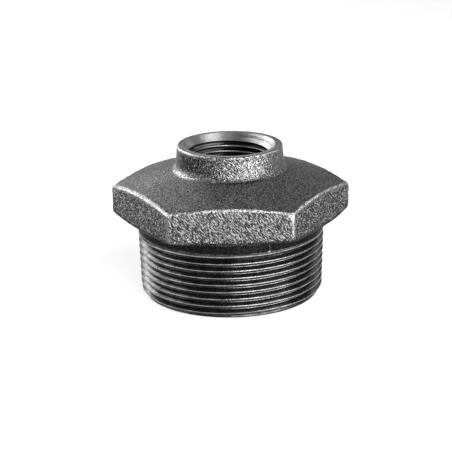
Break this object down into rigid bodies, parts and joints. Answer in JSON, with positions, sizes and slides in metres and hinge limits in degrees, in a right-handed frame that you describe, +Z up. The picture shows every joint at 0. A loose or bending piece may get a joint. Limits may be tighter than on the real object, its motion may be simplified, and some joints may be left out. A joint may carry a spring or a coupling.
{
  "type": "pipe reducer",
  "caption": "Hexagon reducing bush: large male taper pipe thread below, hexagon for a spanner, conical shoulder, and a small round boss with a female pipe thread.",
  "frame": {"origin": "centre of the male end's rim, on the plane that the fitting stands on", "axes": "+Z up the pipe's axis from the large male thread to the small female thread; -Y out through the middle of the front flat of the hexagon"},
  "size_m": [0.0758, 0.0658, 0.0482],
  "materials": {
    "cast_iron": "black sand-cast skin, with threads, countersink and rims cut bright"
  },
  "bodies": {
    "root": {"reducer_body": "cast_iron"}
  },
  "joints": []
}
